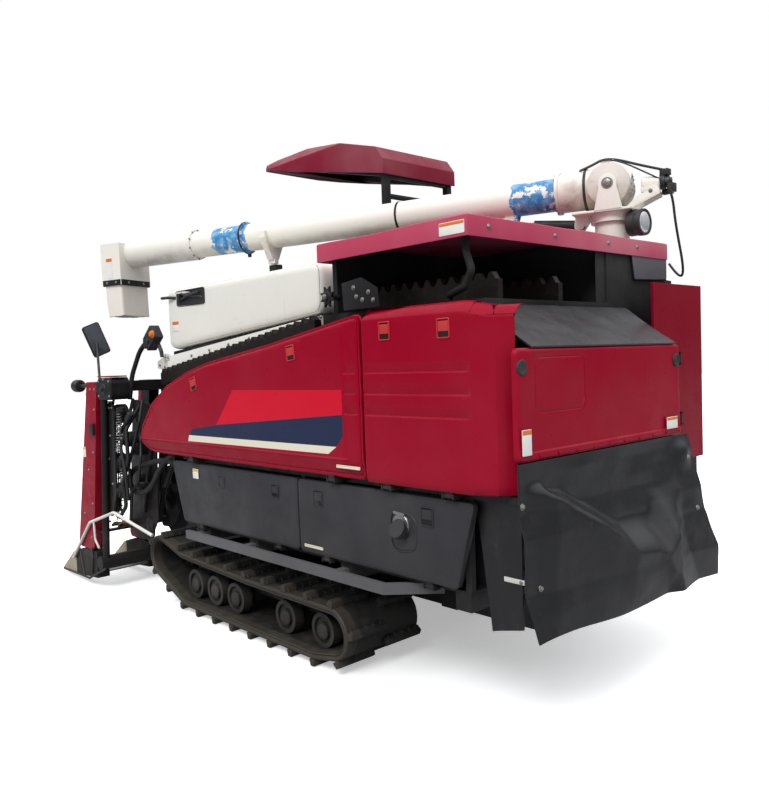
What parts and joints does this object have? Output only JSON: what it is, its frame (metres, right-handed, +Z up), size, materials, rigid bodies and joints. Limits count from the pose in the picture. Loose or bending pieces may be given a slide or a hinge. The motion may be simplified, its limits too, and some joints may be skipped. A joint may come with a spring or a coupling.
{
  "type": "combine harvester",
  "caption": "Head-feeding rice combine on rubber tracks, with row dividers, covered thresher, grain tank, long unloading auger and sun canopy.",
  "frame": {"origin": "on the ground under the middle of the machine's overall box", "axes": "+X forwards, +Y to the machine's left, +Z up"},
  "size_m": [4.2, 1.863, 2.88],
  "materials": {
    "red_paint": "gloss paint, weathered",
    "red_plastic": "moulded, semi-gloss",
    "white_paint": "semi-gloss paint, stained",
    "cream_paint": "semi-gloss paint, stained",
    "dark_paint": "satin paint",
    "black_plastic": "grained",
    "frame_paint": "satin paint, dusty",
    "belt_rubber": "matt, dusty",
    "flap_rubber": "matt sheet, creased",
    "wheel_steel": "worn paint",
    "bare_steel": "worn",
    "chain_steel": "oiled",
    "rod_chrome": "polished",
    "engine_iron": "painted casting",
    "seat_vinyl": "vinyl",
    "vinyl_sheet": "soft sheet",
    "star_rubber": "moulded, worn",
    "hose_rubber": "hose",
    "lens": "moulded"
  },
  "bodies": {
    "chassis": {"chassis_frame": "frame_paint", "deck": "frame_paint", "drive_axle": "frame_paint", "guard_bar": "dark_paint", "fuel_tank": "black_plastic", "engine_block": "engine_iron", "thresher_body": "dark_paint", "threshing_drum": "bare_steel", "stalk_chains": "chain_steel", "feed_chain_rail": "cream_paint", "rear_hood": "red_paint", "hood_frame": "frame_paint", "side_flap": "flap_rubber", "vertical_auger": "cream_paint", "rear_panel": "red_paint", "engine_cover": "red_paint", "consoles": "black_plastic", "seat_base": "black_plastic", "seat_pads": "seat_vinyl", "canopy_frame": "frame_paint", "canopy_shell": "red_plastic", "track_left": "belt_rubber", "track_right": "belt_rubber", "track_frames": "frame_paint", "track_wheels": "wheel_steel", "loop_hose": "hose_rubber"},
    "threshing_lid": {"threshing_lid": "white_paint"},
    "side_cover_front": {"side_cover_front": "red_paint"},
    "side_cover_rear": {"side_cover_rear": "red_paint"},
    "lower_cover_front": {"lower_cover_front": "dark_paint"},
    "lower_cover_rear": {"lower_cover_rear": "dark_paint"},
    "engine_door": {"engine_door": "dark_paint"},
    "straw_cutter": {"cutter_panel": "red_paint", "cutter_box": "frame_paint", "cutter_top_sheet": "flap_rubber", "rubber_flap_rear": "flap_rubber"},
    "grain_tank": {"grain_tank": "red_paint"},
    "turret": {"turret": "cream_paint", "head_lamp": "lens"},
    "boom": {"boom_tube": "cream_paint", "spout": "cream_paint", "spout_chute": "vinyl_sheet"},
    "boom_ram_barrel": {"boom_ram_barrel": "dark_paint"},
    "boom_ram_rod": {"boom_ram_rod": "rod_chrome"},
    "header": {"header_frame": "frame_paint", "dividers": "cream_paint", "raising_cases": "red_paint", "raising_tines": "black_plastic", "cutter_bars": "bare_steel", "guide_rod": "cream_paint", "header_conveyor": "frame_paint", "mirror_and_lamp": "lens", "star_wheels": "star_rubber", "header_hose": "hose_rubber"},
    "lift_ram_barrel": {"lift_ram_barrel": "dark_paint"},
    "lift_ram_rod": {"lift_ram_rod": "rod_chrome"}
  },
  "joints": [
    {"name": "header_lift", "type": "hinge", "parent": "chassis", "child": "header", "pos_m": [0.65, -0.02, 0.83], "axis": [0, -1, 0], "range_deg": [0, 25]},
    {"name": "lift_ram_swing", "type": "hinge", "parent": "chassis", "child": "lift_ram_barrel", "pos_m": [0.585, -0.09, 0.505], "axis": [0, -1, 0], "range_deg": [0, 21.43]},
    {"name": "lift_ram_extend", "type": "slide", "parent": "lift_ram_barrel", "child": "lift_ram_rod", "axis": [0.9885, 0, -0.1512], "range_m": [0, 0.1407]},
    {"name": "auger_slew", "type": "hinge", "parent": "chassis", "child": "turret", "pos_m": [-1.443, -0.687, 2.084], "axis": [0, 0, 1], "range_deg": [0, 270]},
    {"name": "auger_luff", "type": "hinge", "parent": "turret", "child": "boom", "pos_m": [-1.443, -0.687, 2.267], "axis": [0.3708, -0.9287, 0], "range_deg": [0, 45]},
    {"name": "boom_ram_swing", "type": "hinge", "parent": "turret", "child": "boom_ram_barrel", "pos_m": [-1.29202, -0.62673, 2.0927], "axis": [0.3708, -0.9287, 0], "range_deg": [0, 50.11]},
    {"name": "boom_ram_extend", "type": "slide", "parent": "boom_ram_barrel", "child": "boom_ram_rod", "axis": [0.9237, 0.3688, 0.1035], "range_m": [0, 0.1795]},
    {"name": "tank_swing", "type": "hinge", "parent": "chassis", "child": "grain_tank", "pos_m": [-1.443, -0.687, 0.92], "axis": [0, 0, -1], "range_deg": [0, 70]},
    {"name": "threshing_lid_open", "type": "hinge", "parent": "chassis", "child": "threshing_lid", "pos_m": [0.1, 0.126, 1.89], "axis": [1, 0, 0], "range_deg": [0, 40]},
    {"name": "side_cover_front_open", "type": "hinge", "parent": "chassis", "child": "side_cover_front", "pos_m": [-0.2, 0.78, 0.908], "axis": [-1, 0, 0], "range_deg": [0, 70]},
    {"name": "side_cover_rear_open", "type": "hinge", "parent": "chassis", "child": "side_cover_rear", "pos_m": [-1.4, 0.78, 0.908], "axis": [-1, 0, 0], "range_deg": [0, 70]},
    {"name": "lower_cover_front_open", "type": "hinge", "parent": "chassis", "child": "lower_cover_front", "pos_m": [0, 0.745, 0.524], "axis": [-1, 0, 0], "range_deg": [0, 70]},
    {"name": "lower_cover_rear_open", "type": "hinge", "parent": "chassis", "child": "lower_cover_rear", "pos_m": [-1.1, 0.745, 0.524], "axis": [-1, 0, 0], "range_deg": [0, 70]},
    {"name": "straw_cutter_open", "type": "hinge", "parent": "chassis", "child": "straw_cutter", "pos_m": [-1.92, -0.425, 1.25], "axis": [0, 0, 1], "range_deg": [0, 80]},
    {"name": "engine_door_open", "type": "hinge", "parent": "chassis", "child": "engine_door", "pos_m": [0.326, -0.921, 0.83], "axis": [0, 0, 1], "range_deg": [0, 80]}
  ],
  "couplings": [
    {"joint": "lift_ram_swing", "follows": "header_lift", "ratio": 0.84939},
    {"joint": "lift_ram_extend", "follows": "header_lift", "m_per_rad": 0.32026},
    {"joint": "boom_ram_swing", "follows": "auger_luff", "ratio": 1.1091},
    {"joint": "boom_ram_extend", "follows": "auger_luff", "m_per_rad": 0.22731}
  ]
}
